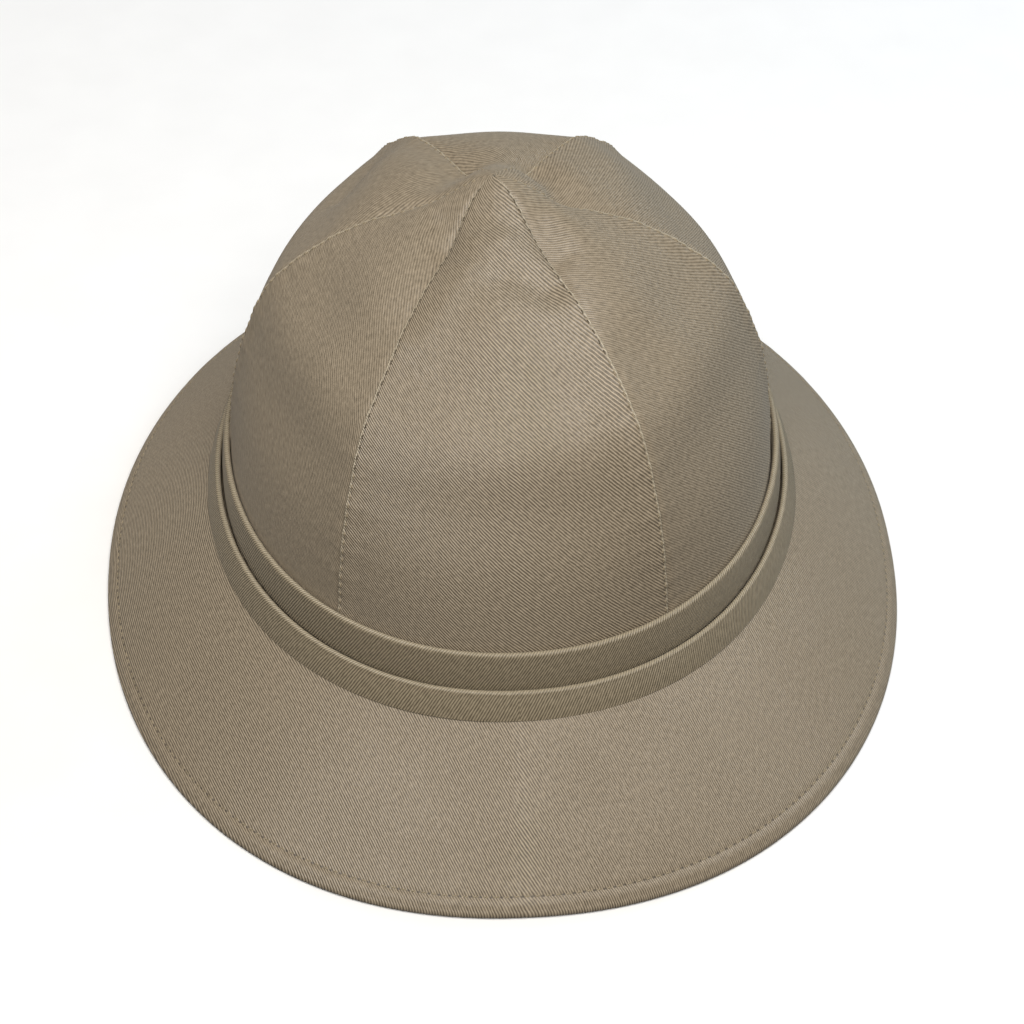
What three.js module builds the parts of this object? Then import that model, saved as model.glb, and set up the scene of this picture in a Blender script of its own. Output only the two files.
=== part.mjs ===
// Cloth pith helmet: six sewn crown panels, a hat band of two pleats and a sloping brim.
// Millimetres, +Z up, front towards -Y. The origin is below the crown's middle, on the plane
// that the edge of the brim rests on. Left and right are as seen from the front.
import * as THREE from "three";

// Driving dimensions
const BRIM_HALF_WIDTH = 132;
const BRIM_HALF_LENGTH = 155.5;
const BRIM_FRONT_SQUARENESS = 2.18;
const BRIM_BACK_SQUARENESS = 2.04;
const BRIM_WALL = 2.6;
const BRIM_ROOT_HEIGHT = 43;
const BRIM_SWELL = 1.2;
const RIM_TOP_HEIGHT = 2.5;

const CROWN_WALL = 2;
const CROWN_FRONT_RATIO = 1.17;
const CROWN_BACK_RATIO = 1.09;
const CROWN_SQUARENESS = 2.08;
const APEX_DRIFT = -1.6;
const SEAM_GAP = 0.3;
const SEAM_BOW_REACH = 12;
const PIECE_GAP = 0.3;

// The overlapped join of the band, on the +X side just behind the middle
const LAP_AZIMUTH = 99;
const LAP_SPAN = 34;
const LAP_RISE = 0.9;
const LAP_LIFT = 1.1;

// Facets
const PANEL_ROWS = 22;
const PANEL_ROW_POWER = 1.6;
const PANEL_COLUMNS = 10;
const RING_STEPS = 80;
const LAP_STEP = 0.5;

// Crown rings from the hem to the apex. reach is the half-width at the seams, and puff is how
// far the middle of a panel stands proud of the even form, which its seams follow.
const CROWN_RINGS = [
  { ring: "hem", height: 43.5, reach: 88.2, puff: 0 },
  { ring: "band_top", height: 61, reach: 86.6, puff: 0 },
  { ring: "wall", height: 83.6, reach: 83.4, puff: -2 },
  { ring: "turn", height: 101.7, reach: 78.3, puff: -4.2 },
  { ring: "shoulder", height: 118.6, reach: 70.5, puff: -3.8 },
  { ring: "slope", height: 131.2, reach: 57.3, puff: -3.8 },
  { ring: "crest", height: 140.5, reach: 41.7, puff: 0.4 },
  { ring: "hollow", height: 145.7, reach: 25.5, puff: 2.8 },
  { ring: "dip", height: 150.9, reach: 15, puff: 0.9 },
  { ring: "tip", height: 155.4, reach: 7.5, puff: 0.3 },
  { ring: "apex", height: 158, reach: 1.5, puff: 0 },
];

// Seams by their azimuth in degrees from the front towards +X. bow is how far a seam swings
// round as it comes to the apex.
const SEAMS = {
  front_left: { azimuth: -36.7, bow: -30 },
  front_right: { azimuth: 30.9, bow: 17 },
  right: { azimuth: 87.5, bow: 2 },
  back_right: { azimuth: 145.9, bow: 0 },
  back_left: { azimuth: 208.1, bow: 0 },
  left: { azimuth: 268.8, bow: -2 },
};
const PANELS = [
  { panel: "front", from: SEAMS.front_left, to: SEAMS.front_right },
  { panel: "right_front", from: SEAMS.front_right, to: SEAMS.right },
  { panel: "right_back", from: SEAMS.right, to: SEAMS.back_right },
  { panel: "back", from: SEAMS.back_right, to: SEAMS.back_left },
  { panel: "left_back", from: SEAMS.back_left, to: SEAMS.left },
  { panel: "left_front", from: SEAMS.left, to: SEAMS.front_left },
];

// Hollows and, with a depth below zero, ridges of the crown's cloth. Each one runs between two
// places, given by their azimuth and reach, and fades over its spread.
const FOLDS = [
  { fold: "front_crest", from: [336, 19], to: [2, 18.5], depth: -1.8, spread: 4.5 },
  { fold: "front_dish", from: [4, 28], to: [20, 33], depth: 2, spread: 6 },
  { fold: "front_ridge", from: [336, 28], to: [330, 50], depth: -1.8, spread: 5.5 },
  { fold: "right_front_tuck", from: [47, 18], to: [41, 26], depth: 2, spread: 5.5 },
  { fold: "right_front_ridge", from: [52, 50], to: [56, 62], depth: -1.4, spread: 12 },
  { fold: "right_back_tuck", from: [134, 19], to: [98, 20], depth: 3.8, spread: 5.5 },
  { fold: "right_back_crest", from: [140, 46], to: [126, 44], depth: -1.8, spread: 12 },
  { fold: "right_shoulder", from: [125, 54], to: [93, 82], depth: -1, spread: 12 },
  { fold: "back_right_dip", from: [146, 17], to: [146, 17], depth: 1.4, spread: 9 },
  { fold: "back_left_dip", from: [208, 17], to: [208, 17], depth: 1.8, spread: 9 },
  { fold: "left_back_tuck", from: [224, 18], to: [240, 20], depth: 2.6, spread: 8 },
  { fold: "left_back_crest", from: [212, 48], to: [222, 45], depth: -1.5, spread: 11 },
  { fold: "left_back_dish", from: [224, 62], to: [236, 60], depth: 2, spread: 8 },
  { fold: "left_front_tuck", from: [312, 23], to: [298, 20], depth: 2.4, spread: 6 },
  { fold: "left_front_ridge", from: [306, 50], to: [302, 62], depth: -1.4, spread: 12 },
];

// Cross-sections of the pleats: how far each corner stands off the crown, and its height,
// or its clearance over the brim where the pleat sits on that.
const UPPER_PLEAT = [
  { corner: "inner_hem", stand: PIECE_GAP, height: 46 },
  { corner: "outer_hem", stand: 2.5, height: 46 },
  { corner: "face", stand: 2.7, height: 53 },
  { corner: "fold_outside", stand: 2.3, height: 60 },
  { corner: "fold_top", stand: 1.3, height: 61 },
  { corner: "fold_inside", stand: PIECE_GAP, height: 60 },
];
const LOWER_PLEAT = [
  { corner: "inner_hem", stand: 3.1, overBrim: 0.5 },
  { corner: "outer_hem", stand: 7.2, overBrim: 0.5 },
  { corner: "edge", stand: 7.6, overBrim: 1.2 },
  { corner: "face", stand: 6.4, height: 42.5 },
  { corner: "fold_outside", stand: 4.9, height: 46.8 },
  { corner: "fold_top", stand: 4.0, height: 47.7 },
  { corner: "fold_inside", stand: 3.1, height: 46.8 },
];

// The brim's wall, by shares of the way from its root to its rim, and the turned rim round its
// foot, by how far each corner is inset from the rim's outline.
const BRIM_SHARES = [0, 0.2, 0.4, 0.6, 0.8, 0.94];
const RIM_SECTION = [
  { corner: "foot_inside", inset: 3.2, height: 0 },
  { corner: "foot_outside", inset: 0.6, height: 0 },
  { corner: "nose_low", inset: 0, height: 0.6 },
  { corner: "nose_high", inset: 0, height: 1.6 },
  { corner: "turn", inset: 0.9, height: 3.1 },
];

const TWILL = { crown: "#94866f", band: "#8a7b65", brim: "#978972" };

const crownHem = CROWN_RINGS[0];
const brimRoot = crownHem.reach + PIECE_GAP;
const brimFall = BRIM_ROOT_HEIGHT - RIM_TOP_HEIGHT;
const crownProfile = new THREE.CatmullRomCurve3(
  CROWN_RINGS.map((row) => new THREE.Vector3(row.reach, row.height, row.puff)),
  false,
  "centripetal",
);
const { lerp, degToRad, radToDeg, euclideanModulo } = THREE.MathUtils;
const signedPower = (value, power) => Math.sign(value) * Math.abs(value) ** power;
const byEnd = (azimuth, front, back) => (Math.cos(degToRad(azimuth)) > 0 ? front : back);
const crownRatio = (azimuth) => byEnd(azimuth, CROWN_FRONT_RATIO, CROWN_BACK_RATIO);

// A point of an oval of the given half-axes at an azimuth in degrees from the front.
function ovalPoint(azimuth, halfWidth, halfLength, squareness, height) {
  const angle = degToRad(azimuth);
  const power = 2 / squareness;
  return new THREE.Vector3(
    halfWidth * signedPower(Math.sin(angle), power),
    -halfLength * signedPower(Math.cos(angle), power),
    height,
  );
}

// A point of the crown's even form, along its profile from 0 at the hem to 1 at the apex.
function crownForm(azimuth, along) {
  const { x: reach, y: height } = crownProfile.getPointAt(along);
  const point = ovalPoint(azimuth, reach, reach * crownRatio(azimuth), CROWN_SQUARENESS, height);
  point.x += APEX_DRIFT * (1 - reach / crownHem.reach) ** 2;
  return point;
}

// The outward direction of the crown's even form.
function crownOutward(azimuth, along) {
  const step = 0.004;
  const low = Math.max(along - step, 0);
  const high = Math.min(along + step, 1);
  const round = crownForm(azimuth + 1, along).sub(crownForm(azimuth - 1, along));
  const up = crownForm(azimuth, high).sub(crownForm(azimuth, low));
  return round.cross(up).normalize();
}

// The place along the profile where it has come in to a given reach.
function alongAtReach(reach) {
  let low = 0;
  let high = 1;
  for (let turn = 0; turn < 30; turn += 1) {
    const middle = (low + high) / 2;
    if (crownProfile.getPointAt(middle).x > reach) low = middle;
    else high = middle;
  }
  return low;
}

// Triangles of a grid of vertex numbers, each face turned outwards.
function gridFaces(grid, triangles) {
  for (let row = 0; row + 1 < grid.length; row += 1) {
    for (let column = 0; column + 1 < grid[row].length; column += 1) {
      const [a, b] = [grid[row][column], grid[row][column + 1]];
      const [d, c] = [grid[row + 1][column], grid[row + 1][column + 1]];
      triangles.push(a, b, c, a, c, d);
    }
  }
}

function solidFrom(points, triangles) {
  const geometry = new THREE.BufferGeometry().setFromPoints(points);
  geometry.setIndex(triangles);
  geometry.computeVertexNormals();
  return geometry;
}

// A closed wall between an outer and an inner grid of points.
function wallSolid(outer, inner) {
  const points = [...outer.flat(), ...inner.flat()];
  const columns = outer[0].length;
  const number = (start) => outer.map((row, i) => row.map((_, j) => start + i * columns + j));
  const front = number(0);
  const back = number(outer.length * columns);
  const last = outer.length - 1;
  const side = (grid, column) => grid.map((row) => row.at(column));
  const triangles = [];
  gridFaces(front, triangles);
  gridFaces(back.map((row) => row.toReversed()), triangles);
  gridFaces([back[0], front[0]], triangles);
  gridFaces([front[last], back[last]], triangles);
  gridFaces([side(front, 0), side(back, 0)], triangles);
  gridFaces([side(back, -1), side(front, -1)], triangles);
  return solidFrom(points, triangles);
}

// A closed ring through cross-sections, each one listed anticlockwise with outwards to the right.
function ringSolid(sections) {
  const corners = sections[0].length;
  const turns = [...sections.keys(), 0];
  const rounds = [...sections[0].keys(), 0];
  const grid = rounds.map((corner) => turns.map((turn) => turn * corners + corner));
  const triangles = [];
  gridFaces(grid, triangles);
  return solidFrom(sections.flat(), triangles);
}

const folds = FOLDS.map(({ from, to, depth, spread }) => {
  const [start, end] = [from, to].map(([azimuth, reach]) => crownForm(azimuth, alongAtReach(reach)));
  return { line: new THREE.Line3(start, end), depth, spread };
});

// How far the folds draw a point of the crown in.
function foldDepth(point) {
  const nearest = new THREE.Vector3();
  let sum = 0;
  for (const { line, depth, spread } of folds) {
    line.closestPointToPoint(point, true, nearest);
    sum += depth * Math.exp(-((point.distanceTo(nearest) / spread) ** 2));
  }
  return sum;
}

const seamAzimuth = (seam, reach) => seam.azimuth + seam.bow * Math.exp(-reach / SEAM_BOW_REACH);

// One crown panel: a cloth wall between two seams that narrows to the apex.
function panelSolid({ from, to }) {
  const outer = [];
  const inner = [];
  for (let row = 0; row <= PANEL_ROWS; row += 1) {
    const along = 1 - (1 - row / PANEL_ROWS) ** PANEL_ROW_POWER;
    const { x: reach, z: puff } = crownProfile.getPointAt(along);
    const gap = radToDeg(SEAM_GAP / 2 / reach);
    const first = seamAzimuth(from, reach) + gap;
    const span = euclideanModulo(seamAzimuth(to, reach) - gap - first, 360);
    outer.push([]);
    inner.push([]);
    for (let column = 0; column <= PANEL_COLUMNS; column += 1) {
      const share = column / PANEL_COLUMNS;
      const azimuth = first + span * share;
      const point = crownForm(azimuth, along);
      const outward = crownOutward(azimuth, along);
      const proud = 4 * puff * share * (1 - share) - foldDepth(point);
      outer[row].push(point.clone().addScaledVector(outward, proud));
      inner[row].push(point.addScaledVector(outward, proud - CROWN_WALL));
    }
  }
  return wallSolid(outer, inner);
}

// The top of the brim at a share of the way from its root to its rim.
function brimTop(share) {
  return BRIM_ROOT_HEIGHT - brimFall * share + 4 * BRIM_SWELL * share * (1 - share);
}

// The share of the way down the brim at a distance out from its root.
function brimShare(azimuth, out) {
  const side = Math.sin(degToRad(azimuth)) ** 2;
  const sideRun = BRIM_HALF_WIDTH - brimRoot;
  const endRun = BRIM_HALF_LENGTH - brimRoot * crownRatio(azimuth);
  return out / lerp(endRun, sideRun, side);
}

// Azimuths round the hat, with two close together where the band overlaps itself.
function bandAzimuths() {
  const steps = Array.from({ length: RING_STEPS }, (_, step) => (360 * step) / RING_STEPS);
  const clear = steps.filter((azimuth) => Math.abs(azimuth - LAP_AZIMUTH) > 2 * LAP_STEP);
  return [...clear, LAP_AZIMUTH - LAP_STEP, LAP_AZIMUTH + LAP_STEP].sort((a, b) => a - b);
}

// One pleat of the band. The end that comes round from the front lies over the other one.
function pleatSolid(section) {
  const taper = (crownHem.reach - CROWN_RINGS[1].reach) / (CROWN_RINGS[1].height - crownHem.height);
  return ringSolid(
    bandAzimuths().map((azimuth) => {
      const before = LAP_AZIMUTH - azimuth;
      const over = before > 0 ? Math.max(0, 1 - before / LAP_SPAN) : 0;
      const under = before < 0 ? Math.max(0, 1 + before / LAP_SPAN) : 0;
      return section.map(({ corner, stand, height, overBrim }) => {
        const off = stand + (stand > PIECE_GAP ? LAP_RISE * over : 0);
        const lift = corner.startsWith("fold") ? LAP_LIFT * under : 0;
        const level = height ?? brimTop(brimShare(azimuth, off)) + overBrim;
        const reach = crownHem.reach - taper * (level - crownHem.height);
        const halfLength = reach * crownRatio(azimuth) + off;
        return ovalPoint(azimuth, reach + off, halfLength, CROWN_SQUARENESS, level + lift);
      });
    }),
  );
}

// The brim: a sloping cloth wall from the crown's hem to a turned rim with a flat foot.
function brimSolid() {
  const slope = Math.atan2(brimFall, BRIM_HALF_WIDTH - brimRoot);
  const inset = BRIM_WALL * Math.sin(slope);
  const drop = BRIM_WALL * Math.cos(slope);
  const corners = [
    ...BRIM_SHARES.map((share) => ({ share, inset, height: brimTop(share) - drop })),
    ...RIM_SECTION.map((row) => ({ share: 1, ...row })),
    ...BRIM_SHARES.toReversed().map((share) => ({ share, inset: 0, height: brimTop(share) })),
  ];
  const sections = Array.from({ length: RING_STEPS }, (_, step) => {
    const azimuth = (360 * step) / RING_STEPS;
    const rimSquareness = byEnd(azimuth, BRIM_FRONT_SQUARENESS, BRIM_BACK_SQUARENESS);
    return corners.map(({ share, inset, height }) =>
      ovalPoint(
        azimuth,
        lerp(brimRoot, BRIM_HALF_WIDTH, share) - inset,
        lerp(brimRoot * crownRatio(azimuth), BRIM_HALF_LENGTH, share) - inset,
        lerp(CROWN_SQUARENESS, rimSquareness, share),
        height,
      ),
    );
  });
  return ringSolid(sections);
}

function clothMesh(name, geometry, color) {
  const material = new THREE.MeshStandardMaterial({ color, roughness: 0.85, metalness: 0 });
  const mesh = new THREE.Mesh(geometry, material);
  mesh.name = name;
  return mesh;
}

const helmet = new THREE.Group();
const crown = new THREE.Group();
for (const panel of PANELS) {
  crown.add(clothMesh(`crown_panel_${panel.panel}`, panelSolid(panel), TWILL.crown));
}
const band = new THREE.Group();
band.add(clothMesh("band_upper_pleat", pleatSolid(UPPER_PLEAT), TWILL.band));
band.add(clothMesh("band_lower_pleat", pleatSolid(LOWER_PLEAT), TWILL.band));
helmet.add(crown, band, clothMesh("brim", brimSolid(), TWILL.brim));

export default helmet;
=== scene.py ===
"""Dresses a cloth pith helmet: lapped crown panels, a pleated hat band, a brim and their thread.

Sizes are millimetres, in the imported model's frame: +Z up, front towards -Y, left and right as seen from the
front. cloth_object() and thread_object() turn them to metres.
"""

import logging
import math
from dataclasses import dataclass, replace
from enum import Enum
from typing import Any

import bpy
import numpy as np
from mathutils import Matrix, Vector


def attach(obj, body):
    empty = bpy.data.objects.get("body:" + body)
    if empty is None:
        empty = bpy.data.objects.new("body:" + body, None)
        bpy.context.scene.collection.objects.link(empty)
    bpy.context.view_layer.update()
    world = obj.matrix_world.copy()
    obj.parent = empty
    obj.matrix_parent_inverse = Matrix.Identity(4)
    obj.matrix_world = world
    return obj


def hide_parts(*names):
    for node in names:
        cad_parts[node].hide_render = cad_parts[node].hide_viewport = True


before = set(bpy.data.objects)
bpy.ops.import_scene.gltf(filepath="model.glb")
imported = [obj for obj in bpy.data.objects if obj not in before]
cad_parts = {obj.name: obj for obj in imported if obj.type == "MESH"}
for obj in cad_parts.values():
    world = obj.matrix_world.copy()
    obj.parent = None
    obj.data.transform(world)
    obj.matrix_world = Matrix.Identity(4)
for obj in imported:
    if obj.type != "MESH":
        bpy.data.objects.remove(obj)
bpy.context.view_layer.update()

log = logging.getLogger("pith_helmet")

Array = np.ndarray
Tree = bpy.types.NodeTree
Socket = bpy.types.NodeSocket
Node = bpy.types.Node
Material = bpy.types.Material
Piece = bpy.types.Object

MM = 0.001
WEAVE_MAP = "Weave"
SEWING_MAP = "Sewing"
NO_SEWING = 60.0
MERGE_DISTANCE = 0.001
CREASE_ANGLE = 70.0
CURVE_STEPS = 60
# Half the distance over which the run of a stitch is measured.
STITCH_SPAN = 1.2
# An uneven wave as the sum of three: height, rate and shift of phase.
WAVE_PARTS = ((0.5, 1.0, 1.0), (0.3, 1.73, 2.1), (0.2, 2.61, 3.7))


class SeamRole(Enum):
    """How a panel lies at a seam: its folded edge on top, or its raw edge tucked beneath."""

    OVER = "over"
    UNDER = "under"


@dataclass(frozen=True)
class Ring:
    """One level of the crown: its height, its half-width at the seams and how far its panels puff out."""

    height: float
    reach: float
    puff: float


@dataclass(frozen=True)
class Seam:
    """A crown seam by its azimuth in degrees from the front towards +X, and its swing near the apex."""

    azimuth: float
    bow: float
    phase: float


@dataclass(frozen=True)
class Fold:
    """A hollow of the crown between two azimuths and reaches, or a ridge where its depth is negative."""

    start: tuple[float, float]
    end: tuple[float, float]
    depth: float
    spread: float


@dataclass(frozen=True)
class Panel:
    """One crown panel between two seams, and how it lies at each of them."""

    name: str
    start: str
    end: str
    start_role: SeamRole
    end_role: SeamRole


@dataclass(frozen=True)
class EdgeColumn:
    """A column of points beside a seam: its inset from the seam, and its drop below the face of the cloth."""

    inset: float
    drop: float = 0.0


@dataclass(frozen=True)
class StitchPlan:
    """A sewn row: its inset from the edge, its stitches, how many threads deep they sink, and its holes."""

    inset: float
    pitch: float
    length: float
    thread: float
    hole_long: float
    hole_wide: float
    hole_shade: float
    sink: float = 1.4


CROWN_RINGS = (
    Ring(height=43.5, reach=88.2, puff=0.0),
    Ring(height=61.0, reach=86.6, puff=0.0),
    Ring(height=83.6, reach=83.4, puff=-2.0),
    Ring(height=101.7, reach=78.3, puff=-4.2),
    Ring(height=118.6, reach=70.5, puff=-3.8),
    Ring(height=131.2, reach=57.3, puff=-3.8),
    Ring(height=140.5, reach=41.7, puff=0.4),
    Ring(height=145.7, reach=25.5, puff=2.8),
    Ring(height=150.9, reach=15.0, puff=0.9),
    Ring(height=155.4, reach=7.5, puff=0.3),
    Ring(height=158.0, reach=1.5, puff=0.0),
    Ring(height=158.3, reach=0.05, puff=0.0),
)

SEAMS = {
    "front_left": Seam(azimuth=-36.7, bow=-30.0, phase=0.4),
    "front_right": Seam(azimuth=30.9, bow=17.0, phase=1.7),
    "right": Seam(azimuth=87.5, bow=2.0, phase=2.9),
    "back_right": Seam(azimuth=145.9, bow=0.0, phase=4.1),
    "back_left": Seam(azimuth=208.1, bow=0.0, phase=5.2),
    "left": Seam(azimuth=268.8, bow=-2.0, phase=0.9),
}

PANELS = (
    Panel("front", "front_left", "front_right", SeamRole.OVER, SeamRole.OVER),
    Panel("right_front", "front_right", "right", SeamRole.UNDER, SeamRole.OVER),
    Panel("right_back", "right", "back_right", SeamRole.UNDER, SeamRole.OVER),
    Panel("back", "back_right", "back_left", SeamRole.UNDER, SeamRole.UNDER),
    Panel("left_back", "back_left", "left", SeamRole.OVER, SeamRole.UNDER),
    Panel("left_front", "left", "front_left", SeamRole.OVER, SeamRole.UNDER),
)

FOLDS = {
    "front_crest": Fold(start=(336, 19), end=(2, 18.5), depth=-1.8, spread=4.5),
    "front_dish": Fold(start=(4, 28), end=(20, 33), depth=2.0, spread=6),
    "front_ridge": Fold(start=(336, 28), end=(330, 50), depth=-1.8, spread=5.5),
    "right_front_tuck": Fold(start=(47, 18), end=(41, 26), depth=2.0, spread=5.5),
    "right_front_ridge": Fold(start=(52, 50), end=(56, 62), depth=-1.4, spread=12),
    "right_back_tuck": Fold(start=(134, 19), end=(98, 20), depth=3.8, spread=5.5),
    "right_back_crest": Fold(start=(140, 46), end=(126, 44), depth=-1.8, spread=12),
    "right_shoulder": Fold(start=(125, 54), end=(93, 82), depth=-1.0, spread=12),
    "back_right_dip": Fold(start=(146, 17), end=(146, 17), depth=1.4, spread=9),
    "back_left_dip": Fold(start=(208, 17), end=(208, 17), depth=1.8, spread=9),
    "left_back_tuck": Fold(start=(224, 18), end=(240, 20), depth=2.6, spread=8),
    "left_back_crest": Fold(start=(212, 48), end=(222, 45), depth=-1.5, spread=11),
    "left_back_dish": Fold(start=(224, 62), end=(236, 60), depth=2.0, spread=8),
    "left_front_tuck": Fold(start=(312, 23), end=(298, 20), depth=2.4, spread=6),
    "left_front_ridge": Fold(start=(306, 50), end=(302, 62), depth=-1.4, spread=12),
}

# The folded edge of a panel that lies on top: its foot, its nose and its turn, then the cloth inside it.
OVER_EDGE = (
    EdgeColumn(0.30, 1.00),
    EdgeColumn(0.02, 0.66),
    EdgeColumn(0.00, 0.34),
    EdgeColumn(0.16, 0.09),
    EdgeColumn(0.42),
    *(EdgeColumn(inset) for inset in (0.62, 0.85, 1.08, 1.35, 1.7, 2.1, 2.7, 3.5, 4.6, 6.0, 8.0)),
)
# The raw edge of a panel that is tucked under its neighbour, from its end to the cloth that shows.
UNDER_EDGE = tuple(
    EdgeColumn(inset)
    for inset in (-2.6, -1.8, -1.0, -0.4, 0.0, 0.3, 0.6, 1.0, 1.4, 1.9, 2.4, 3.0, 3.8, 4.8, 6.2, 8.0)
)

CROWN_STITCH = StitchPlan(
    inset=0.85, pitch=3.1, length=2.1, thread=0.5, hole_long=0.55, hole_wide=0.34, hole_shade=0.35
)
# The side and back seams are sewn with the cloth's own colour, and less shade is painted in their holes.
SIDE_STITCH = replace(CROWN_STITCH, hole_shade=0.25)
BRIM_STITCH = StitchPlan(
    inset=5.0, pitch=3.1, length=2.3, thread=0.42, hole_long=0.6, hole_wide=0.38, hole_shade=0.65
)


def linear_colour(code: str) -> tuple[float, float, float, float]:
    """Turns an sRGB hex colour into linear light.

    Args:
        code: Six hex digits after a hash sign.

    Returns:
        Red, green, blue and an alpha of 1.
    """
    shares = [int(code[start : start + 2], 16) / 255 for start in (1, 3, 5)]
    light = [s / 12.92 if s <= 0.04045 else ((s + 0.055) / 1.055) ** 2.4 for s in shares]
    return (light[0], light[1], light[2], 1.0)


def add_node(
    tree: Tree,
    kind: str,
    settings: dict[str, Any] | None = None,
    inputs: dict[Any, Any] | None = None,
) -> Node:
    """Adds a shader node with its settings, and sets or links its inputs.

    Args:
        tree: The material's node tree.
        kind: The node's type.
        settings: The node's own properties.
        inputs: Values or output sockets, by the input's name or number.

    Returns:
        The new node.
    """
    node = tree.nodes.new(kind)
    for name, value in (settings or {}).items():
        setattr(node, name, value)
    fill_inputs(tree, node, inputs or {})
    return node


def fill_inputs(tree: Tree, node: Node, inputs: dict[Any, Any]) -> None:
    """Sets a node's inputs to values, or links them to output sockets."""
    for socket, value in inputs.items():
        if isinstance(value, Socket):
            tree.links.new(value, node.inputs[socket])
        else:
            node.inputs[socket].default_value = value


def new_material(name: str) -> tuple[Material, Tree, Node]:
    """Makes a node material and returns it with its tree and its surface shader."""
    material = bpy.data.materials.new(name)
    material.use_nodes = True
    tree = material.node_tree
    return material, tree, tree.nodes["Principled BSDF"]


def uv_place(tree: Tree, name: str) -> Socket:
    """Gives the places of a UV map."""
    return add_node(tree, "ShaderNodeUVMap", {"uv_map": name}).outputs["UV"]


def mapped(tree: Tree, place: Socket, **changes: Any) -> Socket:
    """Turns or scales places."""
    return add_node(tree, "ShaderNodeMapping", inputs={"Vector": place, **changes}).outputs["Vector"]


def bands(tree: Tree, place: Socket, **inputs: Any) -> Socket:
    """Gives even bands across the first axis of places."""
    settings = {"wave_type": "BANDS", "bands_direction": "X", "wave_profile": "SIN"}
    return add_node(tree, "ShaderNodeTexWave", settings, {"Vector": place, **inputs}).outputs["Fac"]


def noise(tree: Tree, place: Socket, scale: float, detail: float) -> Socket:
    """Gives soft noise."""
    inputs = {"Vector": place, "Scale": scale, "Detail": detail}
    return add_node(tree, "ShaderNodeTexNoise", inputs=inputs).outputs["Fac"]


def calculate(tree: Tree, operation: str, *values: Any) -> Socket:
    """Works out one step of arithmetic on numbers or sockets."""
    return add_node(tree, "ShaderNodeMath", {"operation": operation}, dict(enumerate(values))).outputs[0]


def fade_out(tree: Tree, value: Socket, start: float, end: float, strength: float) -> Socket:
    """Falls smoothly from a strength to nothing as a value goes from start to end."""
    return add_node(
        tree,
        "ShaderNodeMapRange",
        {"interpolation_type": "SMOOTHSTEP"},
        {"Value": value, "From Min": start, "From Max": end, "To Min": strength, "To Max": 0.0},
    ).outputs["Result"]


def mix_colours(tree: Tree, share: Socket, first: Any, second: str) -> Socket:
    """Mixes a colour, given as a hex code or a socket, with a second hex code by a share from 0 to 1."""
    start = linear_colour(first) if isinstance(first, str) else first
    inputs = {0: share, 6: start, 7: linear_colour(second)}
    return add_node(tree, "ShaderNodeMix", {"data_type": "RGBA", "clamp_factor": True}, inputs).outputs[2]


def relief(tree: Tree, height: Socket, depth: float, strength: float) -> Socket:
    """Gives the normals of a relief of a depth in millimetres."""
    inputs = {"Strength": strength, "Distance": depth * MM, "Height": height}
    return add_node(tree, "ShaderNodeBump", inputs=inputs).outputs["Normal"]


def smooth_step(share: Array) -> Array:
    """Rises smoothly from 0 to 1 as the share does, and stays there."""
    held = np.clip(share, 0.0, 1.0)
    return held * held * (3.0 - 2.0 * held)


def signed_power(value: Array, power: Array | float) -> Array:
    """Raises the size of a value to a power and keeps its sign."""
    return np.sign(value) * np.abs(value) ** power


def unit(vectors: Array) -> Array:
    """Scales vectors to a length of 1."""
    return vectors / np.linalg.norm(vectors, axis=-1, keepdims=True)


def path_lengths(points: Array) -> Array:
    """Gives the distance along a line of points up to each of them."""
    return np.concatenate([[0], np.cumsum(np.linalg.norm(np.diff(points, axis=0), axis=1))])


def along_path(places: Array, lengths: Array, values: Array) -> Array:
    """Reads rows of values off a line, at places along it."""
    return np.stack([np.interp(places, lengths, column) for column in values.T], axis=1)


def smooth_curve(points: Array, samples: int) -> Array:
    """Runs a smooth curve through points.

    Args:
        points: The points, one in each row.
        samples: How many points the curve gets.

    Returns:
        Points of the curve, evenly spaced along it.
    """
    reached = np.vstack([2 * points[0] - points[1], points, 2 * points[-1] - points[-2]])
    share = np.linspace(0, 1, CURVE_STEPS, endpoint=False)[:, None]
    parts = []
    for before, start, end, after in zip(reached, reached[1:], reached[2:], reached[3:]):
        into, over, out = (
            math.sqrt(np.linalg.norm(far - near))
            for near, far in ((before, start), (start, end), (end, after))
        )
        leave = over * ((start - before) / into - (end - before) / (into + over) + (end - start) / over)
        arrive = over * ((end - start) / over - (after - start) / (over + out) + (after - end) / out)
        parts.append(
            (2 * share**3 - 3 * share**2 + 1) * start
            + (share**3 - 2 * share**2 + share) * leave
            + (3 * share**2 - 2 * share**3) * end
            + (share**3 - share**2) * arrive
        )
    curve = np.vstack([*parts, points[-1:]])
    lengths = path_lengths(curve)
    return along_path(np.linspace(0, lengths[-1], samples), lengths, curve)


def oval_points(
    azimuth: Array, half_width: Array, half_length: Array, squareness: Any, height: Any
) -> Array:
    """Finds points of ovals round the hat.

    Args:
        azimuth: Degrees from the front towards +X.
        half_width: The oval's half-width across the hat.
        half_length: The oval's half-length along the hat.
        squareness: 2 for an ellipse, and more for a squarer oval.
        height: Height above the plane that the rim rests on.

    Returns:
        Points, with x, y and z last.
    """
    angle = np.radians(azimuth)
    power = 2.0 / squareness
    x = half_width * signed_power(np.sin(angle), power)
    y = -half_length * signed_power(np.cos(angle), power)
    return np.stack(np.broadcast_arrays(x, y, height), axis=-1)


def slow_wave(place: Array, length: float, phase: float) -> Array:
    """An uneven wave from -1 to 1, for cloth that never lies quite even.

    Args:
        place: Distance along the wave.
        length: The wave's usual length.
        phase: Shifts the wave, so that no two alike meet.

    Returns:
        The wave's height.
    """
    turn = 2 * math.pi * place / length
    return sum(height * np.sin(rate * turn + shift * phase) for height, rate, shift in WAVE_PARTS)


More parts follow.
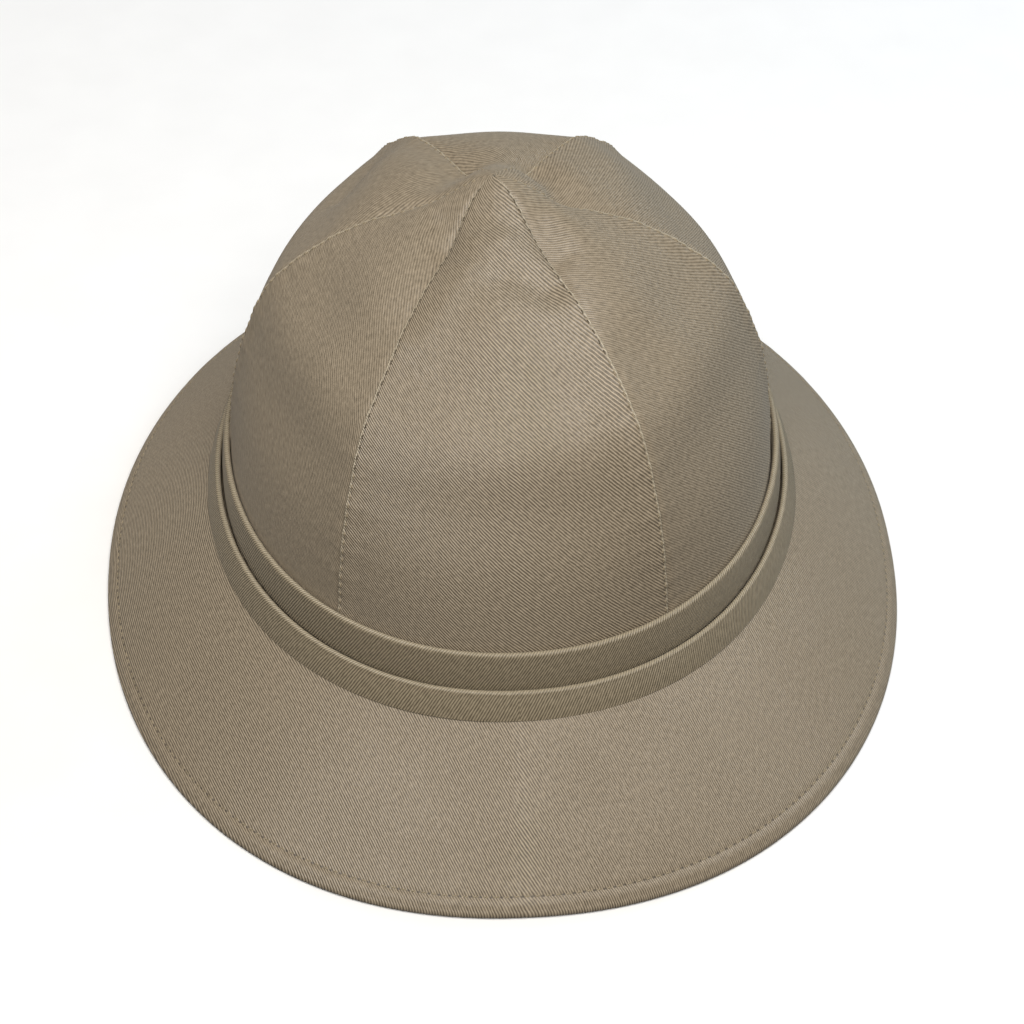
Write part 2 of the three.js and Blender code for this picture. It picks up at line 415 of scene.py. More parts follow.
def cloth_object(name: str, points: Array, weave: Array, sewing: Array) -> Piece:
    """Shapes a grid into a closed piece of cloth.

    Args:
        name: The piece's name.
        points: Rows and columns of points. The outer face has its columns to the right and its rows upwards.
        weave: Places on the flat cloth, as one pair for each point.
        sewing: Distances along and across the sewn edge or from a fold's top, as one pair for each point;
            they place the needle holes and the painted edge highlight.

    Returns:
        The piece, at the origin.
    """
    rows, columns = points.shape[:2]
    bpy.ops.object.select_all(action="DESELECT")
    bpy.ops.mesh.primitive_grid_add(x_subdivisions=columns - 1, y_subdivisions=rows - 1, size=1.0)
    piece = bpy.context.active_object
    piece.name = piece.data.name = name
    mesh = piece.data
    flat = np.empty(len(mesh.vertices) * 3)
    mesh.vertices.foreach_get("co", flat)
    flat = flat.reshape(-1, 3)
    column = np.rint((flat[:, 0] + 0.5) * (columns - 1)).astype(int)
    row = np.rint((flat[:, 1] + 0.5) * (rows - 1)).astype(int)
    mesh.vertices.foreach_set("co", (points[row, column] * MM).ravel())
    corner = np.empty(len(mesh.loops), dtype=np.int32)
    mesh.loops.foreach_get("vertex_index", corner)
    mesh.uv_layers[0].name = WEAVE_MAP
    mesh.uv_layers[WEAVE_MAP].uv.foreach_set("vector", weave[row, column][corner].ravel())
    mesh.uv_layers.new(name=SEWING_MAP)
    mesh.uv_layers[SEWING_MAP].uv.foreach_set("vector", sewing[row, column][corner].ravel())
    mesh.update()
    bpy.ops.object.mode_set(mode="EDIT")
    bpy.ops.mesh.select_all(action="SELECT")
    bpy.ops.mesh.remove_doubles(threshold=MERGE_DISTANCE * MM)
    bpy.ops.object.mode_set(mode="OBJECT")
    bpy.ops.object.shade_smooth_by_angle(angle=math.radians(CREASE_ANGLE))
    return piece


def thread_object(name: str, places: Array, along: Array, outward: Array, plan: StitchPlan) -> Piece:
    """Lays one stitch at each place and joins them.

    Args:
        name: The piece's name.
        places: The middle of each stitch, on the face of the cloth.
        along: The direction of each stitch.
        outward: The direction away from the cloth at each stitch.
        plan: The stitches' sizes.

    Returns:
        The row of stitches as one mesh, at the origin.
    """
    bpy.ops.object.select_all(action="DESELECT")
    bpy.ops.mesh.primitive_uv_sphere_add(segments=6, ring_count=6, radius=0.5)
    model = bpy.context.active_object
    shape = np.array([vertex.co for vertex in model.data.vertices])
    faces = [list(polygon.vertices) for polygon in model.data.polygons]
    marks = np.array([loop.uv for loop in model.data.uv_layers[0].data])
    bpy.data.objects.remove(model)
    length = shape[:, 2] * plan.length
    sag = -plan.sink * plan.thread * (2 * shape[:, 2]) ** 4
    side = np.cross(along, outward)
    points = (
        places[:, None]
        + along[:, None] * length[None, :, None]
        + side[:, None] * (shape[:, 0] * plan.thread)[None, :, None]
        + outward[:, None] * (shape[:, 1] * plan.thread + sag)[None, :, None]
    )
    count = len(shape)
    mesh = bpy.data.meshes.new(name)
    mesh.from_pydata(
        (points.reshape(-1, 3) * MM).tolist(),
        [],
        [[corner + count * number for corner in face] for number in range(len(places)) for face in faces],
    )
    mesh.uv_layers.new(name=WEAVE_MAP)
    mesh.uv_layers[WEAVE_MAP].uv.foreach_set("vector", np.tile(marks, (len(places), 1)).ravel())
    piece = bpy.data.objects.new(name, mesh)
    bpy.context.collection.objects.link(piece)
    piece.select_set(True)
    bpy.context.view_layer.objects.active = piece
    bpy.ops.object.mode_set(mode="EDIT")
    bpy.ops.mesh.select_all(action="SELECT")
    bpy.ops.mesh.normals_make_consistent(inside=False)
    bpy.ops.object.mode_set(mode="OBJECT")
    bpy.ops.object.shade_smooth()
    return piece


def hand_over(piece: Piece, material: Material, slot: str, *nodes: str) -> None:
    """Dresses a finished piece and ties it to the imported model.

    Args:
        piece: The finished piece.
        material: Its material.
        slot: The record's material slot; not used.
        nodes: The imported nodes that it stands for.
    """
    piece.data.materials.clear()
    piece.data.materials.append(material)
    if nodes:
        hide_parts(*nodes)
    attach(piece, "root")
    log.info("%s: %d faces", piece.name, len(piece.data.polygons))


@dataclass(frozen=True)
class TwillFinish:
    """Khaki cotton twill: raised ribs with a painted highlight on their crests and painted shade in their
    grooves, with the soft sheen of pressed cloth.
    """

    name: str
    rib_slant: float
    # Painted highlight on the ribs' crests and painted shade in their grooves.
    rib_crest_highlight: str = "#af9f87"
    rib_groove_shade: str = "#5f5443"
    rib_pitch: float = 0.79
    rib_relief: float = 0.16
    rib_contrast: float = 1.0
    rib_waver: float = 0.9
    pressed_contrast: float = 0.8
    pressed_rate: float = 0.035
    fleck_rate: tuple[float, float, float] = (1.3, 0.5, 1.0)
    fleck_share: float = 0.9
    roughness: float = 0.5
    gloss: float = 0.65
    sheen: float = 0.12
    sheen_roughness: float = 0.45
    sheen_tint: str = "#e8e2d6"
    stitch: StitchPlan | None = None
    # A painted highlight along folded edges and fold tops: where it starts and ends, its strength and its
    # colour.
    edge_highlight_start: float = 0.1
    edge_highlight_width: float = 0.9
    edge_highlight_share: float = 0.55
    edge_highlight_colour: str = "#c9bda3"
    hole_shadow_colour: str = "#2a231b"
    hole_rim: tuple[float, float] = (0.45, 1.25)

    def material(self) -> Material:
        """Builds the twill's material from its weave map, in millimetres of flat cloth."""
        material, tree, shader = new_material(self.name)
        place = uv_place(tree, WEAVE_MAP)
        ribbed = mapped(tree, place, Rotation=(0, 0, -math.radians(self.rib_slant + 90)))
        # One rib of the twill for each period of the wave, which repeats every 0.1 pi of its scaled input.
        waver = {"Distortion": self.rib_waver, "Detail": 1.0, "Detail Scale": self.rib_waver}
        rib = bands(tree, ribbed, Scale=0.1 * math.pi / self.rib_pitch, **waver)
        # Uneven yarns: short flecks that run along the ribs.
        fleck = noise(tree, mapped(tree, ribbed, Scale=self.fleck_rate), scale=1.0, detail=2.0)
        # Where the cloth was pressed the ribs lie flatter, in patches a few centimetres wide, and their
        # painted highlight and shade grow fainter.
        pressed = noise(tree, place, self.pressed_rate, detail=1.0)
        patches = {"Value": pressed, "From Min": 0.35, "From Max": 0.65}
        contrast = {"To Min": self.pressed_contrast * self.rib_contrast, "To Max": self.rib_contrast}
        crisp = add_node(tree, "ShaderNodeMapRange", inputs={**patches, **contrast}).outputs["Result"]
        weighted = calculate(tree, "MULTIPLY", calculate(tree, "SUBTRACT", rib, 0.5), crisp)
        yarn = calculate(tree, "MULTIPLY_ADD", fleck, self.fleck_share, weighted)
        # Painted highlight and shade: each rib's crest is lightened and its groove darkened, for part of its
        # shading; the flecks add the yarn's own uneven tone.
        colour = mix_colours(tree, yarn, self.rib_groove_shade, self.rib_crest_highlight)
        axes = add_node(tree, "ShaderNodeSeparateXYZ", inputs={"Vector": uv_place(tree, SEWING_MAP)})
        # Painted highlight: the cloth is lightened along folded edges and fold tops, where light catches
        # them.
        edge_highlight = fade_out(tree, axes.outputs["Y"], self.edge_highlight_start, self.edge_highlight_width, self.edge_highlight_share)
        colour = mix_colours(tree, edge_highlight, colour, self.edge_highlight_colour)
        if self.stitch:
            # Painted shade: the needle holes are darkened where shade falls into them.
            colour = mix_colours(tree, self._needle_holes(tree, axes), colour, self.hole_shadow_colour)
        surface = {
            "Base Color": colour,
            "Normal": relief(tree, yarn, self.rib_relief, strength=1.0),
            "Roughness": self.roughness,
            "IOR": 1.5,
            "Specular IOR Level": self.gloss,
            "Sheen Weight": self.sheen,
            "Sheen Roughness": self.sheen_roughness,
            "Sheen Tint": linear_colour(self.sheen_tint),
        }
        fill_inputs(tree, shader, surface)
        return material

    def _needle_holes(self, tree: Tree, axes: Node) -> Socket:
        """Finds the painted shade in the needle holes of a sewn row.

        Args:
            tree: The material's node tree.
            axes: The node that gives the distances along and across the sewn edge.

        Returns:
            The strength of the shade painted in the holes, and 0 between them.
        """
        plan = self.stitch
        along = calculate(tree, "PINGPONG", axes.outputs["X"], plan.pitch / 2)
        across = calculate(tree, "SUBTRACT", axes.outputs["Y"], plan.inset)
        offset = add_node(tree, "ShaderNodeCombineXYZ", inputs={"X": along, "Y": across}).outputs[0]
        hole_size = (plan.hole_long, plan.hole_wide, 1)
        sized = add_node(
            tree, "ShaderNodeVectorMath", {"operation": "DIVIDE"}, {0: offset, 1: hole_size}
        ).outputs[0]
        away = add_node(tree, "ShaderNodeVectorMath", {"operation": "LENGTH"}, {0: sized}).outputs["Value"]
        return fade_out(tree, away, *self.hole_rim, plan.hole_shade)


@dataclass(frozen=True)
class ThreadFinish:
    """Spun polyester sewing thread: two twisted plies, matt, with a faint lighter line on each."""

    name: str
    ply_light: str
    ply_dark: str
    twist: float = 52.0
    ply_rate: float = 1.2
    ply_relief: float = 0.05
    roughness: float = 0.7

    def material(self) -> Material:
        """Builds the thread's material, with its twist along each stitch."""
        material, tree, shader = new_material(self.name)
        twisted = mapped(tree, uv_place(tree, WEAVE_MAP), Rotation=(0, 0, math.radians(self.twist)))
        ply = bands(tree, twisted, Scale=self.ply_rate)
        surface = {
            "Base Color": mix_colours(tree, ply, self.ply_dark, self.ply_light),
            "Normal": relief(tree, ply, self.ply_relief, strength=0.8),
            "Roughness": self.roughness,
        }
        fill_inputs(tree, shader, surface)
        return material


@dataclass(frozen=True)
class FloorFinish:
    """Matt white studio paper, with the faintest mottle of its pulp."""

    name: str = "matt_white_paper"
    white: str = "#fbfaf8"
    shade: str = "#f5f4f2"
    pulp_rate: float = 40.0
    roughness: float = 0.95
    gloss: float = 0.1

    def material(self) -> Material:
        """Builds the paper's material on object coordinates."""
        material, tree, shader = new_material(self.name)
        place = add_node(tree, "ShaderNodeTexCoord").outputs["Object"]
        pulp = noise(tree, place, self.pulp_rate, detail=2.0)
        surface = {
            "Base Color": mix_colours(tree, pulp, self.shade, self.white),
            "Roughness": self.roughness,
            "Specular IOR Level": self.gloss,
        }
        fill_inputs(tree, shader, surface)
        return material



@dataclass
class CrownForm:
    """The even form that the crown's seams follow, with its puff and its folds."""

    front_ratio: float = 1.17
    back_ratio: float = 1.09
    squareness: float = 2.08
    apex_drift: float = -1.6
    bow_reach: float = 12.0
    samples: int = 900
    slope_turn: float = 1.0
    slope_reach: float = 0.6
    slope_end: float = 0.02
    least_slope: float = 0.1

    def __post_init__(self) -> None:
        """Works out the profile and the lines of the folds."""
        rings = np.array([(ring.reach, ring.height, ring.puff) for ring in CROWN_RINGS])
        self.profile = smooth_curve(rings, self.samples)
        self.lengths = path_lengths(self.profile[:, :2])
        self.length = float(self.lengths[-1])
        self.hem_reach = rings[0, 0]
        self.fold_lines = [
            (*(self.even(np.array(az), self.at_reach(reach)) for az, reach in (fold.start, fold.end)), fold)
            for fold in FOLDS.values()
        ]

    def level(self, up: Array) -> tuple[Array, Array, Array]:
        """Gives reach, height and puff at a distance up the profile from the hem."""
        reach, height, puff = (np.interp(up, self.lengths, column) for column in self.profile.T)
        return reach, height, puff

    def at_reach(self, reach: float) -> Array:
        """Gives the distance up the profile where it has come in to a reach."""
        return np.interp(-reach, -self.profile[:, 0], self.lengths)

    def ratio(self, azimuth: Array) -> Array:
        """Gives half-length over half-width, which differs at the front and the back."""
        return np.where(np.cos(np.radians(azimuth)) > 0, self.front_ratio, self.back_ratio)

    def seam_azimuth(self, seam: Seam, reach: Array) -> Array:
        """Gives a seam's azimuth at a reach."""
        return seam.azimuth + seam.bow * np.exp(-reach / self.bow_reach)

    def even(self, azimuth: Array, up: Array) -> Array:
        """Gives points of the even form at azimuths and distances up the profile."""
        reach, height, _ = self.level(up)
        points = oval_points(azimuth, reach, reach * self.ratio(azimuth), self.squareness, height)
        points[..., 0] += self.apex_drift * (1 - reach / self.hem_reach) ** 2
        return points

    def outward(self, azimuth: Array, up: Array) -> Array:
        """Gives the direction away from the crown at azimuths and distances up the profile."""
        low = np.maximum(up - self.slope_reach, 0)
        high = np.minimum(up + self.slope_reach, self.length - self.slope_end)
        at = np.minimum(up, high)
        round_hat = self.even(azimuth + self.slope_turn, at) - self.even(azimuth - self.slope_turn, at)
        upwards = self.even(azimuth, high) - self.even(azimuth, np.minimum(low, high - self.least_slope))
        return unit(np.cross(round_hat, upwards))

    def fold_depth(self, points: Array) -> Array:
        """Gives how far the folds draw points of the even form in."""
        depth = np.zeros(points.shape[:-1])
        for start, end, fold in self.fold_lines:
            line = end - start
            span = max(float(line @ line), 1e-9)
            share = np.clip((points - start) @ line / span, 0, 1)
            away = np.linalg.norm(points - start - share[..., None] * line, axis=-1)
            depth += fold.depth * np.exp(-((away / fold.spread) ** 2))
        return depth


@dataclass(frozen=True)
class PanelDress:
    """A panel's cloth and the thread that its folded edges are sewn with."""

    twill: Material
    thread: Material
    top_thread: Material
    top_reach: tuple[float, float] = (0.0, 0.0)


@dataclass
class Crown:
    """The six panels of the crown, lapped and stitched along their seams."""

    form: CrownForm
    cloth: float = 1.0
    lap_rise: float = 0.75
    lap_reach: float = 6.5
    tuck_reach: float = 3.2
    clearance: float = 0.12
    row_step: float = 0.75
    middle_columns: int = 44
    edge_room: float = 17.0
    pucker: float = 0.22
    pucker_length: float = 13.0
    pucker_reach: float = 9.0
    stitch_dip: float = 0.28
    stitch_dip_width: float = 0.6
    dip_evenness: float = 0.6
    bead: float = 0.12
    bead_reach: float = 1.1
    stitch_end: float = 6.0
    width_steps: int = 25

    def build(self, front: PanelDress, sides: PanelDress) -> None:
        """Builds every panel and the stitches along its folded edges.

        Args:
            front: The cloth and thread of the front panel.
            sides: The cloth and thread of the others.
        """
        for panel in PANELS:
            self._build_panel(panel, front if panel.name == "front" else sides)

    def _face(self, role: SeamRole, inset: Array) -> Array:
        """Gives how high the cloth's face stands beside a seam.

        Args:
            role: Whether the cloth lies over or under its neighbour.
            inset: Distance from the seam, negative beyond it.

        Returns:
            Heights over the even form.
        """
        lap = self.lap_rise * (1 - smooth_step(np.abs(inset) / self.lap_reach))
        if role is SeamRole.OVER:
            return lap
        tuck = self.lap_rise - self.cloth - self.clearance
        shown = tuck * (1 - smooth_step(inset / self.tuck_reach))
        return np.where(inset < 0, lap - self.cloth - self.clearance, shown)

    def _sewn(self, inset: Array, up: Array) -> Array:
        """Gives how the stitches draw the folded edge in, with a small bead of cloth between them."""
        beat = np.cos(2 * math.pi * up / CROWN_STITCH.pitch)
        dip = np.exp(-(((inset - CROWN_STITCH.inset) / self.stitch_dip_width) ** 2))
        held = self.dip_evenness + (1 - self.dip_evenness) * beat
        return -self.stitch_dip * dip * held - self.bead * beat * np.exp(-inset / self.bead_reach)

    def _build_panel(self, panel: Panel, dress: PanelDress) -> None:
        """Builds one panel as a closed wall of cloth, and its stitches.

        Args:
            panel: The panel's seams and how it lies on them.
            dress: Its cloth and thread.
        """
        form = self.form
        rows = int(form.length / self.row_step) + 1
        up = np.linspace(0, form.length, rows)[:, None]
        reach, _, puff = form.level(up)
        first = form.seam_azimuth(SEAMS[panel.start], reach)
        last = form.seam_azimuth(SEAMS[panel.end], reach)
        span = (last - first) % 360
        steps = np.linspace(0, 1, self.width_steps)
        across = form.even(first + span * steps, up + 0 * steps)
        width = np.linalg.norm(np.diff(across, axis=1), axis=2).sum(axis=1)[:, None]
        scale = np.minimum(1, width / self.edge_room)
        edges = {SeamRole.OVER: OVER_EDGE, SeamRole.UNDER: UNDER_EDGE}
        left, right = edges[panel.start_role], edges[panel.end_role]
        near = np.array([column.inset for column in left]) * scale / width
        far = 1 - np.array([column.inset for column in reversed(right)]) * scale / width
        middle = np.linspace(0, 1, self.middle_columns + 2)[1:-1]
        share = np.hstack([near, near[:, -1:] + (far[:, :1] - near[:, -1:]) * middle, far])
        drop = np.array(
            [column.drop for column in left]
            + [0.0] * self.middle_columns
            + [column.drop for column in reversed(right)]
        )
        from_start = share * width / scale
        from_end = (1 - share) * width / scale
        azimuth = first + span * share
        level = up + 0 * share
        even = form.even(azimuth, level)
        outward = form.outward(azimuth, level)
        bulge_share = np.where(share < 0, -share, np.where(share > 1, share - 1, share))
        body = 4 * puff * bulge_share * (1 - bulge_share) - form.fold_depth(even)
        body += self._pucker(panel.start, up, from_start) * scale
        body += self._pucker(panel.end, up, from_end) * scale
        lift = self._face(panel.start_role, from_start) + self._face(panel.end_role, from_end)
        sewn = np.zeros_like(lift)
        sewing_inset = np.full_like(share, NO_SEWING)
        for role, inset in ((panel.start_role, from_start), (panel.end_role, from_end)):
            if role is SeamRole.OVER:
                sewn += self._sewn(inset, up)
                sewing_inset = np.minimum(sewing_inset, inset)
        face = body + scale * (lift + sewn - drop)
        back = body + scale * lift - self.cloth
        outer = even + outward * face[..., None]
        inner = even + outward * back[..., None]
        self._close_apex(outer, inner)
        points = self._wall(outer, inner)
        weave = np.stack(np.broadcast_arrays((share - 0.5) * width, up), axis=-1)
        sewing = np.stack([level, sewing_inset], axis=-1)
        hidden = np.stack([level, np.full_like(share, NO_SEWING)], axis=-1)
        piece = cloth_object(
            f"{panel.name}_panel", points, self._wall(weave, weave), self._wall(sewing, hidden)
        )
        hand_over(piece, dress.twill, "crown_twill", f"crown_panel_{panel.name}")
        self._build_stitches(panel, outer, outward, up[:, 0], dress)

    def _pucker(self, seam: str, up: Array, inset: Array) -> Array:
        """Gives the shallow waves that a seam draws in the cloth on both its sides."""
        wave = slow_wave(up, self.pucker_length, SEAMS[seam].phase)
        return self.pucker * wave * np.exp(-np.abs(inset) / self.pucker_reach)

    def _close_apex(self, outer: Array, inner: Array) -> None:
        """Draws the top row of both faces together at the apex."""
        outer[-1] = outer[-1].mean(axis=0)
        inner[-1] = outer[-1] - np.array([0, 0, self.cloth])

    def _wall(self, outer: Array, inner: Array) -> Array:
        """Joins two faces into rows that run round both, closed at the hem."""
        rounds = np.concatenate([outer, inner[:, ::-1], outer[:, :1]], axis=1)
        hem = (outer[:1] + inner[:1]) / 2
        closing = np.concatenate([hem, hem[:, ::-1], hem[:, :1]], axis=1)
        return np.concatenate([closing, rounds], axis=0)

    def _build_stitches(
        self,
        panel: Panel,
        outer: Array,
        outward: Array,
        up: Array,
        dress: PanelDress,
    ) -> None:
        """Lays the stitches along the panel's folded edges.

        Args:
            panel: The panel.
            outer: The points of its outer face.
            outward: Directions away from the crown at those points.
            up: The rows' distances up the profile.
            dress: The panel's thread, and how far down from the apex its darker one shows at each edge.
        """
        insets = np.array([column.inset for column in OVER_EDGE])
        column = int(np.argmin(np.abs(insets - CROWN_STITCH.inset)))
        middles = np.arange(0.5 * CROWN_STITCH.pitch, up[-1] - self.stitch_end, CROWN_STITCH.pitch)
        rows, dark = [], []
        for role, number, top_reach in zip(
            (panel.start_role, panel.end_role), (column, -1 - column), dress.top_reach
        ):
            if role is SeamRole.UNDER:
                continue
            line = outer[:, number]
            ahead, behind = (along_path(middles + step, up, line) for step in (STITCH_SPAN, -STITCH_SPAN))
            run = unit(ahead - behind)
            away = along_path(middles, up, outward[:, number])
            away -= run * (away * run).sum(axis=1, keepdims=True)
            rows.append((along_path(middles, up, line), run, unit(away)))
            dark.append(middles > up[-1] - top_reach)
        if not rows:
            return
        places, runs, normals = (np.vstack(part) for part in zip(*rows))
        upper = np.concatenate(dark)
        for name, chosen, thread in (
            ("stitches", ~upper, dress.thread),
            ("top_stitches", upper, dress.top_thread),
        ):
            if chosen.any():
                row = (places[chosen], runs[chosen], normals[chosen])
                piece = thread_object(f"{panel.name}_panel_{name}", *row, CROWN_STITCH)
                hand_over(piece, thread, "crown_twill")


@dataclass
class BrimForm:
    """The sloping surface of the brim, from the crown's hem to the rim."""

    form: CrownForm
    half_width: float = 132.0
    half_length: float = 155.5
    front_squareness: float = 2.18
    back_squareness: float = 2.04
    root_height: float = 43.0
    rim_top: float = 2.5
    swell: float = 1.2
    root_gap: float = 0.3

    @property
    def root(self) -> float:
        """The brim's half-width at its root."""
        return self.form.hem_reach + self.root_gap

    @property
    def fall(self) -> float:
        """The height that the brim loses from root to rim."""
        return self.root_height - self.rim_top

    def top(self, share: Array) -> Array:
        """Gives the height of the brim's upper face at a share of the way to its rim."""
        return self.root_height - self.fall * share + 4 * self.swell * share * (1 - share)

    def run(self, azimuth: Array) -> Array:
        """Gives the level distance from root to rim."""
        side = np.sin(np.radians(azimuth)) ** 2
        end_run = self.half_length - self.root * self.form.ratio(azimuth)
        return end_run + (self.half_width - self.root - end_run) * side

    def slope_length(self, azimuth: Array) -> Array:
        """Gives the distance down the slope from root to rim."""
        return np.hypot(self.run(azimuth), self.fall)

    def points(self, azimuth: Array, share: Array, inset: Any, height: Any) -> Array:
        """Gives points of the brim at azimuths, shares of the way out, insets and heights."""
        front = np.cos(np.radians(azimuth)) > 0
        rim_squareness = np.where(front, self.front_squareness, self.back_squareness)
        half_length = self.root * self.form.ratio(azimuth)
        return oval_points(
            azimuth,
            self.root + (self.half_width - self.root) * share - inset,
            half_length + (self.half_length - half_length) * share - inset,
            self.form.squareness + (rim_squareness - self.form.squareness) * share,
            height,
        )


RIM_SECTION = ((3.2, 0.0), (0.9, 0.0), (0.2, 0.45), (0.0, 1.3), (0.25, 2.3), (0.95, 3.15))
# Columns of the upper cloth by their distance from the rim, and those round the stitches from the row.
RIM_INSETS = (1.9, 2.5)
STITCH_OFFSETS = (-1.8, -1.3, -0.9, -0.6, -0.3, 0, 0.3, 0.6, 0.9, 1.4, 2.2, 3.4, 5.0)


@dataclass
class Brim:
    """The brim: an upper and a lower cloth that turn round the rim, held by one row of topstitching."""

    form: BrimForm
    wall: float = 2.6
    steps: int = 840
    inner_columns: int = 26
    under_columns: int = 22
    rim_columns: int = 14
    edge_zone: float = 12.0
    stitch_dip: float = 0.3
    stitch_dip_width: float = 0.8
    dip_evenness: float = 0.7
    hem_swell: float = 0.3
    unevenness: float = 0.175
    wave_start: float = 2.0
    wave_rise: float = 20.0
    pull: float = 0.1
    pull_length: float = 17.0
    pull_phase: float = 0.6
    pull_reach: float = 6.0
    root_zone: float = 0.1
    under_share: float = 0.93

    def build(self, twill: Material, thread: Material) -> None:
        """Builds the brim and its topstitching.

        Args:
            twill: The brim's material.
            thread: The stitches' material.
        """
        form = self.form
        azimuth = np.linspace(-180, 180, self.steps + 1)[None, :]
        slope_length = form.slope_length(azimuth)
        stitched = form.points(azimuth, 1 - BRIM_STITCH.inset / slope_length, 0, 0)[0]
        along = path_lengths(stitched)
        count = round(along[-1] / BRIM_STITCH.pitch)
        along = along * (count * BRIM_STITCH.pitch / along[-1])
        top, top_inset = self._top(azimuth, along, slope_length)
        rim = self._rim(azimuth)
        under = self._underside(azimuth)
        points = np.concatenate([under, rim, top, under[:1]], axis=0)
        weave = self._flat_cloth(azimuth, points)
        inset = np.full(points.shape[:2], NO_SEWING)
        start = len(under) + len(rim)
        inset[start : start + len(top)] = top_inset
        sewing = np.stack(np.broadcast_arrays(along[None, :], inset), axis=-1)
        piece = cloth_object("brim_cloth", points, weave, sewing)
        hand_over(piece, twill, "brim_twill", "brim")
        self._build_stitches(azimuth[0], along, slope_length[0], count, thread)

    def _flat_cloth(self, azimuth: Array, points: Array) -> Array:
        """Lays the brim's cone out flat, as its cloth was cut, with the join at the back."""
        slope = math.atan2(self.form.fall, self.form.half_width - self.form.root)
        out = np.linalg.norm(points[..., :2], axis=-1) / math.cos(slope)
        turn = np.radians(azimuth) * math.cos(slope)
        return np.stack([out * np.sin(turn), -out * np.cos(turn)], axis=-1)

    def _detail(self, azimuth: Array, along: Array, inset: Array) -> Array:
        """Gives the upper cloth's height over the even slope.

        Args:
            azimuth: Degrees from the front.
            along: Distance along the row of stitches.
            inset: Distance from the rim, down the slope.

        Returns:
            Heights over the even slope.
        """
        beat = np.cos(2 * math.pi * along / BRIM_STITCH.pitch)
        held = self.dip_evenness + (1 - self.dip_evenness) * beat
        from_row = inset - BRIM_STITCH.inset
        dip = self.stitch_dip * np.exp(-((from_row / self.stitch_dip_width) ** 2)) * held
        hem_share = np.clip(inset / BRIM_STITCH.inset, 0, 1)
        swell = self.hem_swell * np.sin(math.pi * hem_share) ** 2
        rise = self.unevenness * smooth_step((inset - self.wave_start) / self.wave_rise)
        waves = np.sin(np.radians(5 * azimuth + 40)) + np.sin(np.radians(8 * azimuth))
        drawn = self.pull * slow_wave(along, self.pull_length, self.pull_phase)
        return swell - dip + rise * waves + drawn * np.exp(-np.abs(from_row) / self.pull_reach)

    def _top(self, azimuth: Array, along: Array, slope_length: Array) -> tuple[Array, Array]:
        """Gives the upper cloth's points from the rim to the root, and their distances from the rim."""
        beside = BRIM_STITCH.inset + np.array(STITCH_OFFSETS)
        edge = np.array([*RIM_INSETS, *beside, self.edge_zone])[:, None] + 0 * azimuth
        inward = np.linspace(0, 1, self.inner_columns + 1)[1:, None]
        inset = np.vstack([edge, self.edge_zone + (slope_length - self.edge_zone) * inward])
        share = 1 - inset / slope_length
        detail = self._detail(azimuth, along[None, :], inset) * smooth_step(share / self.root_zone)
        return self.form.points(azimuth, share, 0, self.form.top(share) + detail), inset

    def _rim(self, azimuth: Array) -> Array:
        """Gives the turned rim's points, from the foot's inside round the nose to the top."""
        curve = smooth_curve(np.array(RIM_SECTION), self.rim_columns)
        return self.form.points(azimuth, np.ones((1, 1)), curve[:, :1], np.maximum(curve[:, 1:], 0))

    def _underside(self, azimuth: Array) -> Array:
        """Gives the lower cloth's points from the root to the rim."""
        slope = math.atan2(self.form.fall, self.form.half_width - self.form.root)
        share = np.linspace(0, self.under_share, self.under_columns)[:, None]
        height = self.form.top(share) - self.wall * math.cos(slope)
        return self.form.points(azimuth, share, self.wall * math.sin(slope), height)

    def _build_stitches(
        self,
        azimuth: Array,
        along: Array,
        slope_length: Array,
        count: int,
        thread: Material,
    ) -> None:
        """Lays the topstitching.

        Args:
            azimuth: Azimuths round the brim.
            along: Distance along the row of stitches at each azimuth.
            slope_length: Length of the slope at each azimuth.
            count: How many stitches there are.
            thread: The stitches' material.
        """
        middles = (np.arange(count) + 0.5) * BRIM_STITCH.pitch
        rows = []
        for shift, inset in ((0, 0), (STITCH_SPAN, 0), (-STITCH_SPAN, 0), (0, 1.0)):
            place = (middles + shift) % along[-1]
            at = np.interp(place, along, azimuth)
            down = BRIM_STITCH.inset + inset
            share = 1 - down / np.interp(place, along, slope_length)
            height = self.form.top(share) + self._detail(at, place, np.full_like(place, BRIM_STITCH.inset))
            rows.append(self.form.points(at, share, 0, height))
        middle, ahead, behind, inward = rows
        run = unit(ahead - behind)
        away = unit(np.cross(run, inward - middle))
        piece = thread_object("brim_topstitching", middle, run, away, BRIM_STITCH)
        hand_over(piece, thread, "brim_twill")


@dataclass(frozen=True)
class PleatSection:
    """A pleat's cross-section: its foot, its face and its rounded fold, by stand off the crown and height."""

    name: str
    node: str
    foot_stand: float
    face: tuple[tuple[float, float], ...]
    fold_radius: float
    inner_stand: float
    sits_on_brim: bool
    phase: float


UPPER_PLEAT = PleatSection(
    name="upper_pleat",
    node="band_upper_pleat",
    foot_stand=2.45,
    face=((2.55, 47.5), (2.75, 53.0), (2.55, 58.5)),
    fold_radius=1.05,
    inner_stand=0.3,
    sits_on_brim=False,
    phase=0.7,
)
LOWER_PLEAT = PleatSection(
    name="lower_pleat",
    node="band_lower_pleat",
    foot_stand=7.3,
    face=((7.0, 40.2), (6.35, 42.6), (5.2, 46.2)),
    fold_radius=1.0,
    inner_stand=3.1,
    sits_on_brim=True,
    phase=2.2,
)


